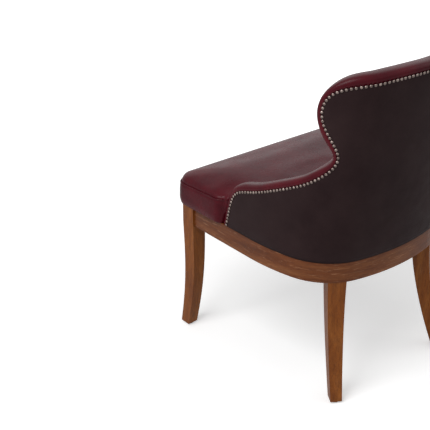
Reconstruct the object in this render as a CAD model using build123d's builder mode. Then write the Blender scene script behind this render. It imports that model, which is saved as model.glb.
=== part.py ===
from build123d import *
import os
from math import asin, cos, radians, sin, sqrt

# Leather wing back side chair on sabre legs.
# Millimetres. The sitter faces -Y, +Z is up, and +X is the sitter's left.
# The origin is on the floor, midway across the chair and midway along its depth.

# Seat rail, as seen from above: straight side, long sweep, tight corner, shallow back
rail_front_setback = 270.0
rail_half_width = 279.0
side_taper = 3.1
side_run = 256.0
sweep_radius = 554.0
sweep_turn = 13.8
corner_radius = 156.0
back_radius = 566.0
rail_top = 373.0
rail_height = 54.0
rail_thickness = 36.0
rebate_width = 12.0
rebate_depth = 5.0

# Clearances: loose between soft or curved faces, close in a glued joint
loose_fit = 0.3
joint_fit = 0.1
overrun = 20.0

# Raked shell of the back, which rises from the rail
shell_height = 560.0
back_rake = 61.0

# Nail line of the outer back, in side view, measured back from the rail's front and up from its top
arm_front = 165.0
nose_setback = 200.0
nose_height = 105.0
waist_setback = 482.0
waist_height = 285.0
wing_setback = 452.0
wing_height = 394.0
crest_height = 474.0

# Where the line runs between those places, as shares of the way along and up
front_shares = [(0.49, 0.68)]
arm_shares = [(0.17, 0.13), (0.52, 0.37), (0.87, 0.69)]
neck_shares = [(0.50, 0.50)]
shoulder_shares = [(0.18, 0.575), (0.42, 0.775), (0.59, 0.845), (0.77, 0.90)]

# How far the padded roll reaches past the nail line
front_reach = 17.0
arm_reach = 20.0
waist_reach = 11.0
neck_reach = 18.5
wing_reach = 17.0
shoulder_reaches = [16.5, 26.0, 28.5, 25.5]
crest_reach = 20.5

# Layers of the back, from the outside inwards
outer_leather = 2.0
wrap_leather = 2.0
frame_thickness = 18.0
webbing_thickness = 1.5
hessian_thickness = 1.0
arm_thickness = 42.0
crest_thickness = 54.0
roll_outer_radius = 8.0
roll_inner_radius = 16.0
frame_margin = 8.0
leather_margin = 2.5
wrap_lap = 12.0

# Members of the back frame
post_width = 36.0
arm_depth = 34.0
stile_lead = 42.0
stile_width = 40.0
crest_depth = 50.0
tacking_height = 104.0
tacking_depth = 34.0

# Dowels from the seat rail into the posts and the stiles
dowel_radius = 4.0
dowel_length = 40.0
dowel_pitch = 16.0

# Straps inside the back
back_strap_pitch = 84.0
back_strap_count = 3

# Front legs
front_leg_width = 42.0
front_leg_proud = 5.0
front_foot_width = 31.0
front_foot_forward = 9.0
front_foot_outward = 13.0
front_leg_bow = 9.0
front_kick_power = 2.6

# Rear legs
rear_leg_angle = 60.2
rear_leg_width = 46.8
rear_leg_setback = 2.0
rear_foot_width = 30.0
rear_foot_kick = 65.0
rear_kick_power = 1.6
spigot_radius = 11.0
spigot_length = 34.0
leg_steps = 5

# Floor glides
glide_radius = 11.0
glide_height = 5.0

# Joints of the front rail and the hoop rail
tenon_length = 16.0
tenon_width = 10.0
tenon_shoulder = 10.0
front_rail_thickness = 26.0

# Corner blocks and their screws
block_height = 40.0
block_reach = 35.0
rear_block_width = 60.0
rear_block_depth = 26.0
screw_radius = 2.2
screw_length = 50.0
screw_head_radius = 4.2
screw_head_height = 2.4
front_screw_pitch = 16.0
rear_screw_pitch = 36.0
rear_screw_length = 40.0

# Seat webbing
strap_width = 50.0
strap_pitch = 100.0
strap_count = 4
strap_middle = 235.0

# Seat pad
pad_front_overhang = 26.0
pad_side_overhang = 9.0
pad_seam_height = 68.0
pad_crown = 28.0
pad_tuck = 4.0
pad_corner_radius = 26.0
pad_rear_setback = 560.0
pad_round_share = 0.10
crown_shares = [(0.0, 0.0), (0.05, 0.38), (0.13, 0.62), (0.25, 0.80), (0.40, 0.92), (0.56, 0.98), (0.72, 1.0)]

# Dust cover
dust_cover_thickness = 0.8
dust_cover_inset = 8.0
dust_cover_room = 2.0

# Dome nails
nail_radius = 4.0
nail_height = 2.4
nail_pitch = 10.6
nail_dome_shares = [(1.0, 0.0), (0.82, 0.58), (0.38, 1.0)]
nail_sides = 8
line_samples = 1200

rail_front = -rail_front_setback
rail_bottom = rail_top - rail_height
shell_top = rail_top + shell_height
half_span = rail_half_width + rail_thickness
pad_bottom = rail_top + loose_fit
pad_inset = outer_leather + loose_fit
frame_inset = pad_inset + wrap_leather + loose_fit
frame_inner = frame_inset + frame_thickness
webbing_inner = frame_inner + webbing_thickness
hessian_outer = webbing_inner + loose_fit
hessian_inner = hessian_outer + hessian_thickness
padding_inset = hessian_inner + loose_fit
rebate_inset = rail_thickness - rebate_width
rebate_floor = rail_top - rebate_depth
stile_setback = waist_setback - stile_lead
leg_corner = front_leg_width - front_leg_proud
block_middle = rail_bottom + block_height / 2
sides = {"left": 1, "right": -1}


def outward(angle):
    """Unit vector at an angle from +X, seen from above."""
    return Vector(cos(radians(angle)), sin(radians(angle)))


side_out = outward(side_taper)
side_along = outward(90 + side_taper)


def plan_stops(inset=0.0, rake=0.0):
    """Places on the rail's outline where its straight side, sweep, corner and back meet."""
    start = Vector(rail_half_width, rail_front)
    side_end = start + side_along * (side_run + rake)
    sweep_centre = side_end - side_out * sweep_radius
    sweep_out = outward(side_taper + sweep_turn)
    sweep_end = sweep_centre + sweep_out * sweep_radius
    corner_centre = sweep_end - sweep_out * corner_radius
    spread = back_radius - corner_radius
    half_angle = asin(corner_centre.X / spread)
    back_centre = Vector(0, corner_centre.Y - spread * cos(half_angle))
    corner_out = Vector(sin(half_angle), cos(half_angle))
    corner_end = corner_centre + corner_out * corner_radius
    return {
        "start": start - side_out * inset,
        "side_end": side_end - side_out * inset,
        "sweep_end": sweep_end - sweep_out * inset,
        "corner_end": corner_end - corner_out * inset,
        "rear": back_centre + Vector(0, back_radius - inset),
        "sweep_centre": sweep_centre,
        "corner_centre": corner_centre,
        "back_centre": back_centre,
    }


def flip(place, side=-1):
    """The same place on the given side of the chair."""
    return Vector(side * place.X, place.Y)


def plan_face(inset=0.0, rake=0.0, ahead=0.0, mode=Mode.ADD):
    """Outline of the rail from above as a face, lengthened at the front by ahead."""
    stops = plan_stops(inset, rake)
    front = stops["start"] - side_along * ahead
    turned = side_taper + sweep_turn
    with BuildLine() as outline:
        Line(front, stops["side_end"])
        TangentArc(stops["side_end"], stops["sweep_end"], tangent=side_along)
        TangentArc(stops["sweep_end"], stops["corner_end"], tangent=outward(90 + turned))
        ThreePointArc(stops["corner_end"], stops["rear"], flip(stops["corner_end"]))
        TangentArc(flip(stops["sweep_end"]), flip(stops["corner_end"]), tangent=outward(90 - turned))
        TangentArc(flip(stops["side_end"]), flip(stops["sweep_end"]), tangent=flip(side_along))
        Line(flip(stops["side_end"]), flip(front))
        Line(flip(front), front)
    make_face(outline.edges(), mode=mode)


def shell_place(setback, height, inset=0.0):
    """Place on the left half of the raked shell, at a setback and a height, as seen from above."""
    stops = plan_stops(inset, back_rake * height / shell_height)
    y = rail_front + setback
    if y < stops["side_end"].Y:
        return stops["start"] + side_along * ((y - stops["start"].Y) / side_along.Y)
    centre, radius = stops["back_centre"], back_radius - inset
    if y < stops["sweep_end"].Y:
        centre, radius = stops["sweep_centre"], sweep_radius - inset
    elif y < stops["corner_end"].Y:
        centre, radius = stops["corner_centre"], corner_radius - inset
    return Vector(centre.X + sqrt(max(radius**2 - (y - centre.Y) ** 2, 0)), y)


def shell_normal(setback, height):
    """Direction out of the raked shell's left half, at a setback and a height."""
    stops = plan_stops(0, back_rake * height / shell_height)
    place = shell_place(setback, height)
    out = side_out
    if place.Y > stops["corner_end"].Y:
        out = place - stops["back_centre"]
    elif place.Y > stops["sweep_end"].Y:
        out = place - stops["corner_centre"]
    elif place.Y > stops["side_end"].Y:
        out = place - stops["sweep_centre"]
    out = out.normalized()
    return Vector(out.X, out.Y, -out.dot(side_along) * back_rake / shell_height).normalized()


def shell_body(inset_low, inset_high, ahead=0.0):
    """Solid inside the raked shell, between the rail's top and the shell's top."""
    with BuildPart() as body:
        with BuildSketch(Plane.XY.offset(rail_top)):
            plan_face(inset_low, 0, ahead)
        with BuildSketch(Plane.XY.offset(shell_top)):
            plan_face(inset_high, back_rake, ahead)
        loft(ruled=True)
    return body.part


def shell_band(outer, inner, inner_high=None):
    """Wall of the raked shell between two insets."""
    with BuildPart() as wall:
        add(shell_body(outer, outer))
        add(shell_body(inner, inner_high or inner, overrun), mode=Mode.SUBTRACT)
    return wall.part


def side_place(setback, height):
    """Place in side view, at a setback from the rail's front and a height above its top."""
    return Vector(rail_front + setback, rail_top + height)


def raked_place(setback, height):
    """The same, with the setback taken at the rail's top and leaning back with the shell."""
    return side_place(setback + height * back_rake / shell_height, height)


def side_polygon(*corners, mode=Mode.ADD):
    """Straight sided face in side view."""
    with BuildLine() as outline:
        Polyline(*corners, close=True)
    make_face(outline.edges(), mode=mode)


def nail_line_stops():
    """Setback and height of each stop of the nail line, in side view, with the roll's reach there."""
    crest_rake = back_rake * crest_height / shell_height
    foot = Vector(arm_front, 0)
    nose = Vector(nose_setback, nose_height)
    waist = Vector(waist_setback, waist_height)
    wing = Vector(wing_setback, wing_height)
    crest = Vector(plan_stops(0, crest_rake)["rear"].Y - rail_front, crest_height)

    def between(first, last, shares):
        span = last - first
        return [first + Vector(span.X * along, span.Y * up) for along, up in shares]

    stops = [(foot, front_reach)]
    stops += [(place, front_reach) for place in between(foot, nose, front_shares)]
    stops += [(nose, arm_reach)]
    stops += [(place, arm_reach) for place in between(nose, waist, arm_shares)]
    stops += [(waist, waist_reach)]
    stops += [(place, neck_reach) for place in between(waist, wing, neck_shares)]
    stops += [(wing, wing_reach)]
    stops += zip(between(wing, crest, shoulder_shares), shoulder_reaches)
    stops += [(crest, crest_reach)]
    return stops


def outline_places(margin=None, room=0.0):
    """The nail line moved outwards, by a margin or by the roll's own reach, as side view places."""
    stops = nail_line_stops()
    places = []
    for index, (stop, reach) in enumerate(stops):
        before = stops[max(index - 1, 0)][0]
        after = stops[min(index + 1, len(stops) - 1)][0]
        along = (after - before).normalized()
        step = room + (reach if margin is None else margin)
        if index == 0:
            shift = Vector(-step, 0)
        elif index == len(stops) - 1:
            shift = Vector(0, step)
        else:
            shift = Vector(-along.Y, along.X) * step
        places.append(side_place(stop.X + shift.X, stop.Y + shift.Y))
    return places


def side_face(margin=None, base=rail_top, room=0.0):
    """What lies inside the nail line, or inside a line moved out from it, in side view."""
    places = outline_places(margin, room)
    places[0] = Vector(places[0].X, base)
    first, last = places[0], places[-1]
    along = last - places[-2]
    run_on = plan_stops(0, back_rake)["rear"].Y + overrun - last.X
    far = last + along * (run_on / along.X)
    with BuildLine() as outline:
        Spline(places, tangents=[places[1] - first, along])
        Line(last, far)
        Line(far, Vector(far.X, base))
        Line(Vector(far.X, base), first)
    make_face(outline.edges())


def roll_edges(piece):
    """Edges where the padded roll's cut wall meets the outer and inner faces of the back."""
    check_shares = (0.1, 0.5, 0.9)
    walls = []
    for face in piece.faces():
        across = [abs(face.normal_at(share, share).X) for share in check_shares]
        if max(across) < joint_fit / overrun and face.center().Z > rail_top + overrun:
            walls.append(face)
    edges = [edge for wall in walls for edge in wall.edges() if edge.center().Z > pad_bottom + overrun]
    return [edge for edge in edges if sum(edge.is_same(other) for other in edges) == 1]


def is_inner(edge):
    """Whether an edge of the padded roll lies on its inner face."""
    place = edge.position_at(0.5)
    middle = (pad_inset + arm_thickness) / 2
    return abs(place.X) < shell_place(place.Y - rail_front, place.Z - rail_top, middle).X


def corner_place(out, along, side=1):
    """Place near a front corner, outwards from the rail's side and back along it."""
    return flip(plan_stops()["start"] + side_out * out + side_along * along, side)


def rear_leg_place(inset, across=0.0, side=1):
    """Place on a rear leg's own axes, inwards from the rail's outer face and across."""
    out = outward(rear_leg_angle)
    face = plan_stops()["corner_centre"] + out * (corner_radius - inset)
    return flip(face + outward(rear_leg_angle + 90) * across, side)


def turned_box(place, width, depth, turn, mode=Mode.ADD):
    """Rectangle about a place in a sketch, turned about its own middle."""
    with Locations(place):
        Rectangle(width, depth, rotation=turn, mode=mode)


def leg_head(side, room=0.0, mode=Mode.ADD):
    """Square head of a front leg, as seen from above."""
    middle = corner_place(front_leg_proud - front_leg_width / 2, front_leg_width / 2 - front_leg_proud, side)
    turned_box(middle, front_leg_width + 2 * room, front_leg_width + 2 * room, side * side_taper, mode)


def side_tenon(side, room=0.0):
    """Tenon on a front end of the hoop rail, as seen from above, with its root in the rail."""
    middle = corner_place(-rail_thickness / 2, leg_corner + (tenon_shoulder - tenon_length) / 2, side)
    turned_box(middle, tenon_width + 2 * room, tenon_length + tenon_shoulder + 2 * room, side * side_taper)


def front_tenon(side, room=0.0):
    """Tenon on an end of the front rail, as seen from above, with its root in the rail."""
    middle = corner_place((tenon_length - tenon_shoulder) / 2 - leg_corner, front_rail_thickness / 2, side)
    turned_box(middle, tenon_length + tenon_shoulder + 2 * room, tenon_width + 2 * room, side * side_taper)


def leg_height(share):
    """Height at a share of the way from the rail's underside down to the glide."""
    return rail_bottom + (glide_height - rail_bottom) * share


def front_leg_section(share, side):
    """Middle and width of a front leg at a share of the way down."""
    width = front_leg_width + (front_foot_width - front_leg_width) * share
    forward = front_foot_forward * share**front_kick_power - front_leg_bow * sin(radians(180 * share))
    outer = front_leg_proud + front_foot_outward * share
    return corner_place(outer - width / 2, leg_corner - forward - width / 2, side), width


def rear_leg_section(share, side):
    """Middle and width of a rear leg at a share of the way down."""
    width = rear_leg_width + (rear_foot_width - rear_leg_width) * share
    kick = rear_foot_kick * share**rear_kick_power
    return rear_leg_place(rear_leg_setback - kick + width / 2, 0, side), width


def dowel_planes(side):
    """Where the dowels stand in the rail's top: two under the post and two under the stile."""
    inset = (frame_inset + frame_inner) / 2
    rise = dowel_length / 4
    lean = front_shares[0][0] * (nose_setback - arm_front) / (front_shares[0][1] * nose_height)
    post_middle = arm_front - frame_margin + post_width / 2 + lean * rise
    stile_middle = stile_setback + (stile_width + rise * back_rake / shell_height) / 2
    planes = []
    for middle in (post_middle, stile_middle):
        for step in (-dowel_pitch / 2, dowel_pitch / 2):
            place = flip(shell_place(middle + step, rise, inset), side)
            planes.append(Plane(origin=(place.X, place.Y, rail_top)))
    return planes


def screw_plane(place, out, height):
    """Where a screw's head seats, with its axis along out."""
    return Plane(origin=(place.X, place.Y, height), z_dir=out)


def front_screw_planes(side):
    """Two screws, one above the other, through a front block into the leg's corner."""
    out = (side_out - side_along).normalized()
    seat = corner_place(-leg_corner, leg_corner) - out * block_reach
    heights = (block_middle - front_screw_pitch / 2, block_middle + front_screw_pitch / 2)
    return [screw_plane(flip(seat, side), flip(out, side), height) for height in heights]


def rear_screw_planes(side):
    """Two screws, side by side, through a rear block into the hoop rail."""
    steps = (-rear_screw_pitch / 2, rear_screw_pitch / 2)
    seats = [rear_leg_place(rail_thickness + rear_block_depth, step, side) for step in steps]
    return [screw_plane(seat, flip(outward(rear_leg_angle), side), block_middle) for seat in seats]


def drill(planes, radius, depth):
    """Blind round holes from each plane along its normal, or against it where the depth is negative."""
    for plane in planes:
        with BuildSketch(plane) as mouth:
            Circle(radius)
        extrude(mouth.sketch, amount=depth, mode=Mode.SUBTRACT)


def pad_layer(inset, height):
    """Plane and rounded outline of the seat pad's blank at one height above its base."""
    out = pad_side_overhang - inset
    front = rail_front - pad_front_overhang + inset
    rear = rail_front + pad_rear_setback - inset
    corners = []
    for y in (front, rear):
        along = (y - corner_place(out, 0).Y) / side_along.Y
        corners.append(corner_place(out, along))
    with BuildSketch(Plane.XY.offset(pad_bottom + height)) as layer:
        with BuildLine():
            Polyline(*corners, flip(corners[1]), flip(corners[0]), close=True)
        make_face()
        fillet(layer.vertices(), radius=pad_corner_radius + inset * pad_round_share)
    return layer.sketch


def nail_planes():
    """Where the dome nails sit: evenly along the nail line, from the crest's middle to each arm's foot."""
    places = outline_places(0)
    with BuildLine() as outline:
        line = Spline(places, tangents=[places[1] - places[0], places[-1] - places[-2]])
    walk = []
    walked = 0.0
    for step in range(line_samples + 1):
        seen = line.position_at(1 - (step / line_samples) ** 2)
        setback, height = seen.X - rail_front, seen.Y - rail_top
        if height < nail_radius:
            break
        flat = shell_place(setback, height)
        place = Vector(flat.X, flat.Y, seen.Y)
        walked += (place - walk[-1][1]).length if walk else 0
        walk.append((walked, place, shell_normal(setback, height)))
    gaps = round(walked / nail_pitch)
    planes = []
    for gap in range(gaps + 1):
        place, out = min(walk, key=lambda spot: abs(spot[0] - walked * gap / gaps))[1:]
        planes.append((place + out * joint_fit, out))
    middle = [Plane(origin=planes[0][0], z_dir=planes[0][1])]
    pairs = []
    for place, out in planes[1:]:
        pairs.append(Plane(origin=place, z_dir=out))
        pairs.append(Plane(origin=(-place.X, place.Y, place.Z), z_dir=(-out.X, out.Y, out.Z)))
    return middle + pairs


def export(part, name):
    """Label a finished piece and write it."""
    part.label = name
    export_step(part, "parts/" + name + ".step")


os.makedirs("parts", exist_ok=True)

# Hoop rail: one bent rail round the sides and the back, tenoned into the front legs
with BuildPart() as hoop_rail:
    with BuildSketch(Plane.XY.offset(rail_bottom)):
        plan_face()
        plan_face(rail_thickness, ahead=overrun, mode=Mode.SUBTRACT)
        for side in sides.values():
            leg_head(side, mode=Mode.SUBTRACT)
    extrude(amount=rail_height)
    with BuildSketch(Plane.XY.offset(rebate_floor)):
        plan_face(rebate_inset, ahead=overrun)
    extrude(amount=rebate_depth, mode=Mode.SUBTRACT)
    with BuildSketch(Plane.XY.offset(rail_bottom + tenon_shoulder)):
        for side in sides.values():
            side_tenon(side)
    extrude(amount=rail_height - 2 * tenon_shoulder)
    with BuildSketch(Plane.XY.offset(rail_bottom)):
        with Locations(*[rear_leg_place(rail_thickness / 2, 0, side) for side in sides.values()]):
            Circle(spigot_radius + joint_fit)
    extrude(amount=spigot_length + joint_fit, mode=Mode.SUBTRACT)
    for side in sides.values():
        drill(dowel_planes(side), dowel_radius + joint_fit, -dowel_length / 2 - joint_fit)
        drill(front_screw_planes(side), screw_radius + joint_fit, screw_length)
        drill(rear_screw_planes(side), screw_radius + joint_fit, rear_screw_length + joint_fit)
export(hoop_rail.part, "hoop_rail")

# Front rail, set back from the front legs' faces
with BuildPart() as front_rail:
    with BuildSketch(Plane.XY.offset(rail_bottom)):
        with Locations((0, rail_front + front_rail_thickness / 2)):
            Rectangle(2 * rail_half_width, front_rail_thickness)
        for side in sides.values():
            leg_head(side, mode=Mode.SUBTRACT)
    extrude(amount=rail_height)
    with BuildSketch(Plane.XY.offset(rebate_floor)):
        with Locations((0, rail_front + front_rail_thickness - rebate_width / 2)):
            Rectangle(2 * rail_half_width, rebate_width)
    extrude(amount=rebate_depth, mode=Mode.SUBTRACT)
    with BuildSketch(Plane.XY.offset(rail_bottom + tenon_shoulder)):
        for side in sides.values():
            front_tenon(side)
    extrude(amount=rail_height - 2 * tenon_shoulder)
export(front_rail.part, "front_rail")

# Front legs: a square head mortised for both rails over a tapered sabre leg
for name, side in sides.items():
    with BuildPart() as leg_front:
        with BuildSketch(Plane.XY.offset(rail_bottom)):
            leg_head(side)
        extrude(amount=rail_height)
        for step in range(leg_steps + 1):
            middle, width = front_leg_section(step / leg_steps, side)
            with BuildSketch(Plane.XY.offset(leg_height(step / leg_steps))):
                turned_box(middle, width, width, side * side_taper)
        loft()
        with BuildSketch(Plane.XY.offset(rail_bottom + tenon_shoulder - joint_fit)):
            side_tenon(side, joint_fit)
            front_tenon(side, joint_fit)
        extrude(amount=rail_height - 2 * (tenon_shoulder - joint_fit), mode=Mode.SUBTRACT)
        drill(front_screw_planes(side), screw_radius + joint_fit, screw_length + joint_fit)
    export(leg_front.part, "leg_front_" + name)

# Rear legs: tapered sabre legs with a round spigot into the hoop rail
for name, side in sides.items():
    with BuildPart() as leg_rear:
        for step in range(leg_steps + 1):
            middle, width = rear_leg_section(step / leg_steps, side)
            with BuildSketch(Plane.XY.offset(leg_height(step / leg_steps))):
                turned_box(middle, width, width, side * rear_leg_angle)
        loft()
        with BuildSketch(Plane.XY.offset(rail_bottom)):
            with Locations(rear_leg_place(rail_thickness / 2, 0, side)):
                Circle(spigot_radius)
        extrude(amount=spigot_length)
    export(leg_rear.part, "leg_rear_" + name)

# Floor glides, one under each foot
with BuildPart() as floor_glides:
    with BuildSketch():
        for side in sides.values():
            with Locations(front_leg_section(1, side)[0], rear_leg_section(1, side)[0]):
                Circle(glide_radius)
    extrude(amount=glide_height)
export(floor_glides.part, "floor_glides")

# Front corner blocks, screwed into the legs
for name, side in sides.items():
    with BuildPart() as corner_block_front:
        with BuildSketch(Plane.XY.offset(rail_bottom)):
            cut = 2 * leg_corner + block_reach * sqrt(2)
            with BuildLine():
                Polyline(
                    corner_place(-rail_thickness, front_rail_thickness / 2, side),
                    corner_place(front_rail_thickness / 2 - cut, front_rail_thickness / 2, side),
                    corner_place(-rail_thickness, cut - rail_thickness, side),
                    close=True,
                )
            make_face()
            with Locations((0, rail_front + (front_rail_thickness + joint_fit) / 2)):
                Rectangle(2 * rail_half_width, front_rail_thickness + joint_fit, mode=Mode.SUBTRACT)
            leg_head(side, joint_fit, Mode.SUBTRACT)
        extrude(amount=block_height)
        drill(front_screw_planes(side), screw_radius + joint_fit, screw_length)
    export(corner_block_front.part, "corner_block_front_" + name)

# Rear corner blocks, shaped to the bent rail and screwed to it over the legs' heads
for name, side in sides.items():
    with BuildPart() as corner_block_rear:
        with BuildSketch(Plane.XY.offset(rail_bottom)):
            middle = rear_leg_place(rail_thickness + rear_block_depth / 2, 0, side)
            turned_box(middle, rear_block_depth, rear_block_width, side * rear_leg_angle)
            plan_face(rail_thickness + joint_fit, mode=Mode.INTERSECT)
        extrude(amount=block_height)
        drill(rear_screw_planes(side), screw_radius + joint_fit, rear_screw_length)
    export(corner_block_rear.part, "corner_block_rear_" + name)

# Block screws
with BuildPart() as block_screws:
    for side in sides.values():
        lengths = [(plane, screw_length) for plane in front_screw_planes(side)]
        lengths += [(plane, rear_screw_length) for plane in rear_screw_planes(side)]
        for plane, length in lengths:
            with BuildSketch(plane):
                Circle(screw_radius)
            extrude(amount=length)
            with BuildSketch(plane):
                Circle(screw_head_radius)
            extrude(amount=-screw_head_height)
export(block_screws.part, "block_screws")

# Back frame: members cut from one curved and raked band
with BuildPart() as frame_blank:
    add(shell_band(frame_inset, frame_inner))
    with BuildSketch(Plane.YZ):
        side_face(frame_margin)
    extrude(amount=half_span, both=True, mode=Mode.INTERSECT)

frame_front = arm_front - frame_margin - overrun
frame_rear = stile_setback + stile_width
beyond = rail_front_setback + half_span
arm_stops = [stop for stop, reach in nail_line_stops() if nose_height <= stop.Y < waist_height]
arm_underside = [side_place(frame_front, nose_height - arm_depth)]
arm_underside += [side_place(stop.X, stop.Y - arm_depth) for stop in arm_stops]
arm_underside += [raked_place(stile_setback, waist_height - 2 * arm_depth)]
post_lean = front_shares[0][0] * (nose_setback - arm_front) / (front_shares[0][1] * nose_height)
post_rear = arm_front - frame_margin + post_width

for name, side in sides.items():
    # Short post at the arm's front, which leans with the frame's edge
    with BuildPart() as arm_post:
        add(frame_blank.part)
        with BuildSketch(Plane.YZ):
            side_polygon(
                side_place(frame_front, 0),
                side_place(post_rear, 0),
                side_place(post_rear + post_lean * nose_height, nose_height),
                side_place(frame_front, nose_height),
            )
            side_polygon(*arm_underside, raked_place(stile_setback, 0), side_place(frame_front, 0), mode=Mode.INTERSECT)
        extrude(amount=side * half_span, mode=Mode.INTERSECT)
        drill(dowel_planes(side), dowel_radius + joint_fit, dowel_length / 2 + joint_fit)
    export(arm_post.part, "arm_post_" + name)

    # Sloping arm, from the front post to the stile
    with BuildPart() as arm_rail:
        add(frame_blank.part)
        with BuildSketch(Plane.YZ):
            side_polygon(*arm_underside, raked_place(stile_setback, waist_height), side_place(frame_front, waist_height))
        extrude(amount=side * half_span, mode=Mode.INTERSECT)
    export(arm_rail.part, "arm_rail_" + name)

    # Raked stile, from the seat rail to the crest
    with BuildPart() as stile:
        add(frame_blank.part)
        with BuildSketch(Plane.YZ):
            side_polygon(
                raked_place(stile_setback, 0),
                raked_place(frame_rear, 0),
                raked_place(frame_rear, shell_height),
                raked_place(stile_setback, shell_height),
            )
        extrude(amount=side * half_span, mode=Mode.INTERSECT)
        drill(dowel_planes(side), dowel_radius + joint_fit, dowel_length / 2 + joint_fit)
    export(stile.part, "stile_" + name)

    # Shaped ear in front of the stile
    with BuildPart() as wing_board:
        add(frame_blank.part)
        with BuildSketch(Plane.YZ):
            side_polygon(
                side_place(frame_front, waist_height),
                raked_place(stile_setback, waist_height),
                raked_place(stile_setback, shell_height),
                side_place(frame_front, shell_height),
            )
        extrude(amount=side * half_span, mode=Mode.INTERSECT)
    export(wing_board.part, "wing_board_" + name)

# Curved top rail between the stiles
with BuildPart() as crest_rail:
    add(frame_blank.part)
    with BuildSketch(Plane.YZ):
        crest_bottom = crest_height + frame_margin - crest_depth
        side_polygon(
            raked_place(frame_rear, crest_bottom),
            side_place(beyond, crest_bottom),
            side_place(beyond, shell_height),
            raked_place(frame_rear, shell_height),
        )
    extrude(amount=half_span, both=True, mode=Mode.INTERSECT)
export(crest_rail.part, "crest_rail")

# Lower cross rail, just above the seat, to which the inside back is tacked
with BuildPart() as back_tacking_rail:
    add(frame_blank.part)
    with BuildSketch(Plane.YZ):
        side_polygon(
            raked_place(frame_rear, tacking_height),
            side_place(beyond, tacking_height),
            side_place(beyond, tacking_height + tacking_depth),
            raked_place(frame_rear, tacking_height + tacking_depth),
        )
    extrude(amount=half_span, both=True, mode=Mode.INTERSECT)
export(back_tacking_rail.part, "back_tacking_rail")

# Dowels between the seat rail and the back frame
with BuildPart() as frame_dowels:
    for side in sides.values():
        for plane in dowel_planes(side):
            with BuildSketch(plane):
                Circle(dowel_radius)
            extrude(amount=dowel_length / 2, both=True)
export(frame_dowels.part, "frame_dowels")

# Upright straps from the tacking rail to the crest rail
with BuildPart() as back_webbing:
    add(shell_band(frame_inner, webbing_inner))
    strap_bottom = rail_top + tacking_height + tacking_depth / 2
    strap_top = rail_top + crest_height + frame_margin - crest_depth / 2
    with BuildSketch(Plane.XZ):
        with Locations((0, (strap_bottom + strap_top) / 2)):
            with GridLocations(back_strap_pitch, 0, back_strap_count, 1):
                Rectangle(strap_width, strap_top - strap_bottom)
    extrude(amount=-half_span - back_rake, mode=Mode.INTERSECT)
export(back_webbing.part, "back_webbing")

# Hessian over the straps and the frame
with BuildPart() as back_hessian:
    add(shell_band(hessian_outer, hessian_inner))
    with BuildSketch(Plane.YZ):
        side_face(frame_margin)
    extrude(amount=half_span, both=True, mode=Mode.INTERSECT)
export(back_hessian.part, "back_hessian")

# Room for the frame and its lining inside the padding
with BuildPart() as frame_room:
    add(shell_band(frame_inset - loose_fit, padding_inset))
    with BuildSketch(Plane.YZ):
        side_face(frame_margin + loose_fit)
    extrude(amount=half_span + overrun, both=True, mode=Mode.INTERSECT)

# Open outside of the frame, short of the leather's lap behind the nails
with BuildPart() as lap_room:
    add(shell_band(-overrun, padding_inset))
    with BuildSketch(Plane.YZ):
        side_face(-wrap_lap)
    extrude(amount=half_span + overrun, both=True, mode=Mode.INTERSECT)

# Padded inside back, arms and wings: one upholstered piece whose leather wraps round the frame's edge
with BuildPart() as back_pad:
    add(shell_band(pad_inset, arm_thickness, crest_thickness))
    with BuildSketch(Plane.YZ):
        side_face(None, pad_bottom)
    extrude(amount=half_span, both=True, mode=Mode.INTERSECT)
    rims = roll_edges(back_pad.part)
    fillet([rim for rim in rims if is_inner(rim)], radius=roll_inner_radius)
    rims = roll_edges(back_pad.part)
    fillet([rim for rim in rims if not is_inner(rim)], radius=roll_outer_radius)
    add(frame_room.part, mode=Mode.SUBTRACT)
    add(lap_room.part, mode=Mode.SUBTRACT)
export(back_pad.part, "back_pad")

# Outer back: a leather panel stretched over the frame, down to the seat rail
with BuildPart() as outer_back:
    add(shell_band(0, outer_leather))
    with BuildSketch(Plane.YZ):
        side_face(leather_margin)
    extrude(amount=half_span, both=True, mode=Mode.INTERSECT)
export(outer_back.part, "outer_back")

# One dome nail, as a faceted dome
with BuildPart() as dome_nail:
    for spread_share, rise_share in nail_dome_shares:
        with BuildSketch(Plane.XY.offset(nail_height * rise_share)):
            RegularPolygon(nail_radius * spread_share, nail_sides)
    loft(ruled=True)

# Dome nails along the edge of the outer back
with BuildPart() as dome_nails:
    with Locations(*nail_planes()):
        add(dome_nail.part)
export(dome_nails.part, "dome_nails")

# Seat straps, laid in the rails' rebate
strap_floor = {"lengthwise": rebate_floor, "across": rebate_floor + webbing_thickness}
strap_reach = 2 * half_span
with BuildPart() as seat_webbing_lengthwise:
    with BuildSketch(Plane.XY.offset(strap_floor["lengthwise"])):
        with GridLocations(strap_pitch, 0, strap_count, 1):
            Rectangle(strap_width, strap_reach)
        plan_face(rebate_inset + loose_fit, mode=Mode.INTERSECT)
        with Locations((0, rail_front)):
            Rectangle(strap_reach, 2 * (front_rail_thickness - rebate_width + loose_fit), mode=Mode.SUBTRACT)
    extrude(amount=webbing_thickness)
export(seat_webbing_lengthwise.part, "seat_webbing_lengthwise")

with BuildPart() as seat_webbing_across:
    with BuildSketch(Plane.XY.offset(strap_floor["across"])):
        with Locations((0, rail_front + strap_middle)):
            with GridLocations(0, strap_pitch, 1, strap_count):
                Rectangle(strap_reach, strap_width)
        plan_face(rebate_inset + loose_fit, mode=Mode.INTERSECT)
    extrude(amount=webbing_thickness)
export(seat_webbing_across.part, "seat_webbing_across")

# Hessian over the seat straps
with BuildPart() as seat_hessian:
    with BuildSketch(Plane.XY.offset(strap_floor["across"] + webbing_thickness)):
        plan_face(rebate_inset + loose_fit)
        with Locations((0, rail_front)):
            Rectangle(strap_reach, 2 * (front_rail_thickness - rebate_width + loose_fit), mode=Mode.SUBTRACT)
        for side in sides.values():
            leg_head(side, loose_fit, Mode.SUBTRACT)
    extrude(amount=hessian_thickness)
export(seat_hessian.part, "seat_hessian")

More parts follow.
